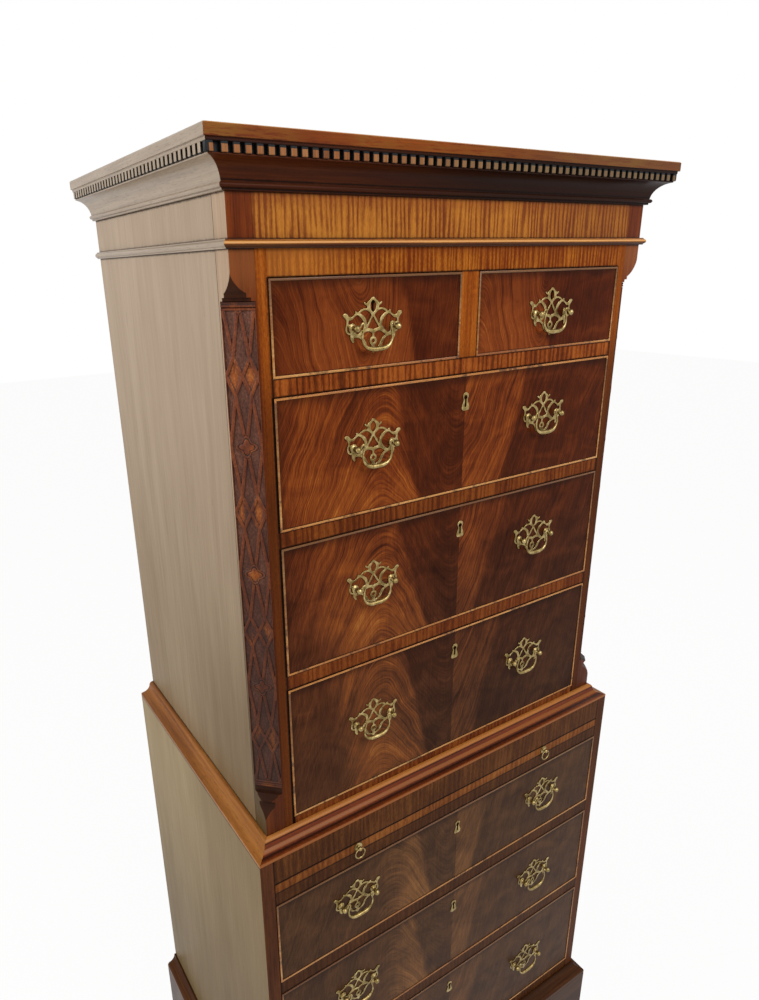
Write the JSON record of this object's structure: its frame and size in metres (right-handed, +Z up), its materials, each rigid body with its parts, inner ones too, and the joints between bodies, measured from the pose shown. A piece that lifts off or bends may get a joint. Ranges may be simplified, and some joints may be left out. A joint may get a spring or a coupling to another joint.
{
  "type": "chest on chest",
  "caption": "Tall chest of drawers: an upper case with canted, fretted corners and a dentil cornice on a wider lower case with a pull-out slide and bracket feet.",
  "frame": {"origin": "on the floor, in the middle of the width and of the overall depth", "axes": "+Z up, +Y towards the back, so the drawers open towards -Y"},
  "size_m": [0.818, 0.554, 1.8515],
  "materials": {
    "mahogany": "polished mahogany",
    "flame_mahogany": "polished flame-figured mahogany veneer",
    "oak_linings": "bare oak",
    "pine_boards": "bare pine",
    "brass": "aged lacquered brass"
  },
  "bodies": {
    "case": {"upper_sides": "mahogany", "corner_posts": "mahogany", "corner_frets": "mahogany", "back_boards": "pine_boards", "upper_boards": "mahogany", "upper_rails": "mahogany", "upper_runners": "oak_linings", "lower_sides": "mahogany", "lower_boards": "pine_boards", "lower_rails": "mahogany", "lower_runners": "oak_linings", "base_moulding": "mahogany", "waist_moulding": "mahogany", "astragal": "mahogany", "frieze": "mahogany", "cornice": "mahogany", "dentils": "mahogany", "bracket_feet": "mahogany"},
    "upper_drawer_1": {"upper_drawer_1_front": "flame_mahogany", "upper_drawer_1_box": "oak_linings", "upper_drawer_1_brasses": "brass"},
    "upper_drawer_1_bail_left": {"upper_drawer_1_bail_left": "brass"},
    "upper_drawer_1_bail_right": {"upper_drawer_1_bail_right": "brass"},
    "upper_drawer_2": {"upper_drawer_2_front": "flame_mahogany", "upper_drawer_2_box": "oak_linings", "upper_drawer_2_brasses": "brass"},
    "upper_drawer_2_bail_left": {"upper_drawer_2_bail_left": "brass"},
    "upper_drawer_2_bail_right": {"upper_drawer_2_bail_right": "brass"},
    "upper_drawer_3": {"upper_drawer_3_front": "flame_mahogany", "upper_drawer_3_box": "oak_linings", "upper_drawer_3_brasses": "brass"},
    "upper_drawer_3_bail_left": {"upper_drawer_3_bail_left": "brass"},
    "upper_drawer_3_bail_right": {"upper_drawer_3_bail_right": "brass"},
    "short_drawer_left": {"short_drawer_left_front": "flame_mahogany", "short_drawer_left_box": "oak_linings", "short_drawer_left_brasses": "brass"},
    "short_drawer_left_bail": {"short_drawer_left_bail": "brass"},
    "short_drawer_right": {"short_drawer_right_front": "flame_mahogany", "short_drawer_right_box": "oak_linings", "short_drawer_right_brasses": "brass"},
    "short_drawer_right_bail": {"short_drawer_right_bail": "brass"},
    "lower_drawer_1": {"lower_drawer_1_front": "flame_mahogany", "lower_drawer_1_box": "oak_linings", "lower_drawer_1_brasses": "brass"},
    "lower_drawer_1_bail_left": {"lower_drawer_1_bail_left": "brass"},
    "lower_drawer_1_bail_right": {"lower_drawer_1_bail_right": "brass"},
    "lower_drawer_2": {"lower_drawer_2_front": "flame_mahogany", "lower_drawer_2_box": "oak_linings", "lower_drawer_2_brasses": "brass"},
    "lower_drawer_2_bail_left": {"lower_drawer_2_bail_left": "brass"},
    "lower_drawer_2_bail_right": {"lower_drawer_2_bail_right": "brass"},
    "lower_drawer_3": {"lower_drawer_3_front": "flame_mahogany", "lower_drawer_3_box": "oak_linings", "lower_drawer_3_brasses": "brass"},
    "lower_drawer_3_bail_left": {"lower_drawer_3_bail_left": "brass"},
    "lower_drawer_3_bail_right": {"lower_drawer_3_bail_right": "brass"},
    "slide": {"brushing_slide": "mahogany", "slide_pulls": "brass"},
    "slide_ring_left": {"slide_ring_left": "brass"},
    "slide_ring_right": {"slide_ring_right": "brass"}
  },
  "joints": [
    {"name": "upper_drawer_1_slide", "type": "slide", "parent": "case", "child": "upper_drawer_1", "axis": [0, -1, 0], "range_m": [0, 0.36]},
    {"name": "upper_drawer_1_bail_left_hinge", "type": "hinge", "parent": "upper_drawer_1", "child": "upper_drawer_1_bail_left", "pos_m": [-0.165, -0.239, 1.0485], "axis": [-1, 0, 0], "range_deg": [-10, 170]},
    {"name": "upper_drawer_1_bail_right_hinge", "type": "hinge", "parent": "upper_drawer_1", "child": "upper_drawer_1_bail_right", "pos_m": [0.165, -0.239, 1.0485], "axis": [-1, 0, 0], "range_deg": [-10, 170]},
    {"name": "upper_drawer_2_slide", "type": "slide", "parent": "case", "child": "upper_drawer_2", "axis": [0, -1, 0], "range_m": [0, 0.36]},
    {"name": "upper_drawer_2_bail_left_hinge", "type": "hinge", "parent": "upper_drawer_2", "child": "upper_drawer_2_bail_left", "pos_m": [-0.165, -0.239, 1.2805], "axis": [-1, 0, 0], "range_deg": [-10, 170]},
    {"name": "upper_drawer_2_bail_right_hinge", "type": "hinge", "parent": "upper_drawer_2", "child": "upper_drawer_2_bail_right", "pos_m": [0.165, -0.239, 1.2805], "axis": [-1, 0, 0], "range_deg": [-10, 170]},
    {"name": "upper_drawer_3_slide", "type": "slide", "parent": "case", "child": "upper_drawer_3", "axis": [0, -1, 0], "range_m": [0, 0.36]},
    {"name": "upper_drawer_3_bail_left_hinge", "type": "hinge", "parent": "upper_drawer_3", "child": "upper_drawer_3_bail_left", "pos_m": [-0.165, -0.239, 1.4855], "axis": [-1, 0, 0], "range_deg": [-10, 170]},
    {"name": "upper_drawer_3_bail_right_hinge", "type": "hinge", "parent": "upper_drawer_3", "child": "upper_drawer_3_bail_right", "pos_m": [0.165, -0.239, 1.4855], "axis": [-1, 0, 0], "range_deg": [-10, 170]},
    {"name": "short_drawer_left_slide", "type": "slide", "parent": "case", "child": "short_drawer_left", "axis": [0, -1, 0], "range_m": [0, 0.36]},
    {"name": "short_drawer_left_bail_hinge", "type": "hinge", "parent": "short_drawer_left", "child": "short_drawer_left_bail", "pos_m": [-0.165, -0.239, 1.64], "axis": [-1, 0, 0], "range_deg": [-10, 170]},
    {"name": "short_drawer_right_slide", "type": "slide", "parent": "case", "child": "short_drawer_right", "axis": [0, -1, 0], "range_m": [0, 0.36]},
    {"name": "short_drawer_right_bail_hinge", "type": "hinge", "parent": "short_drawer_right", "child": "short_drawer_right_bail", "pos_m": [0.165, -0.239, 1.64], "axis": [-1, 0, 0], "range_deg": [-10, 170]},
    {"name": "lower_drawer_1_slide", "type": "slide", "parent": "case", "child": "lower_drawer_1", "axis": [0, -1, 0], "range_m": [0, 0.38]},
    {"name": "lower_drawer_1_bail_left_hinge", "type": "hinge", "parent": "lower_drawer_1", "child": "lower_drawer_1_bail_left", "pos_m": [-0.2175, -0.266, 0.297], "axis": [-1, 0, 0], "range_deg": [-10, 170]},
    {"name": "lower_drawer_1_bail_right_hinge", "type": "hinge", "parent": "lower_drawer_1", "child": "lower_drawer_1_bail_right", "pos_m": [0.2175, -0.266, 0.297], "axis": [-1, 0, 0], "range_deg": [-10, 170]},
    {"name": "lower_drawer_2_slide", "type": "slide", "parent": "case", "child": "lower_drawer_2", "axis": [0, -1, 0], "range_m": [0, 0.38]},
    {"name": "lower_drawer_2_bail_left_hinge", "type": "hinge", "parent": "lower_drawer_2", "child": "lower_drawer_2_bail_left", "pos_m": [-0.2175, -0.266, 0.533], "axis": [-1, 0, 0], "range_deg": [-10, 170]},
    {"name": "lower_drawer_2_bail_right_hinge", "type": "hinge", "parent": "lower_drawer_2", "child": "lower_drawer_2_bail_right", "pos_m": [0.2175, -0.266, 0.533], "axis": [-1, 0, 0], "range_deg": [-10, 170]},
    {"name": "lower_drawer_3_slide", "type": "slide", "parent": "case", "child": "lower_drawer_3", "axis": [0, -1, 0], "range_m": [0, 0.38]},
    {"name": "lower_drawer_3_bail_left_hinge", "type": "hinge", "parent": "lower_drawer_3", "child": "lower_drawer_3_bail_left", "pos_m": [-0.2175, -0.266, 0.7375], "axis": [-1, 0, 0], "range_deg": [-10, 170]},
    {"name": "lower_drawer_3_bail_right_hinge", "type": "hinge", "parent": "lower_drawer_3", "child": "lower_drawer_3_bail_right", "pos_m": [0.2175, -0.266, 0.7375], "axis": [-1, 0, 0], "range_deg": [-10, 170]},
    {"name": "brushing_slide_slide", "type": "slide", "parent": "case", "child": "slide", "axis": [0, -1, 0], "range_m": [0, 0.3]},
    {"name": "slide_ring_left_hinge", "type": "hinge", "parent": "slide", "child": "slide_ring_left", "pos_m": [-0.214, -0.2606, 0.84075], "axis": [-1, 0, 0], "range_deg": [-10, 120]},
    {"name": "slide_ring_right_hinge", "type": "hinge", "parent": "slide", "child": "slide_ring_right", "pos_m": [0.214, -0.2606, 0.84075], "axis": [-1, 0, 0], "range_deg": [-10, 120]}
  ]
}
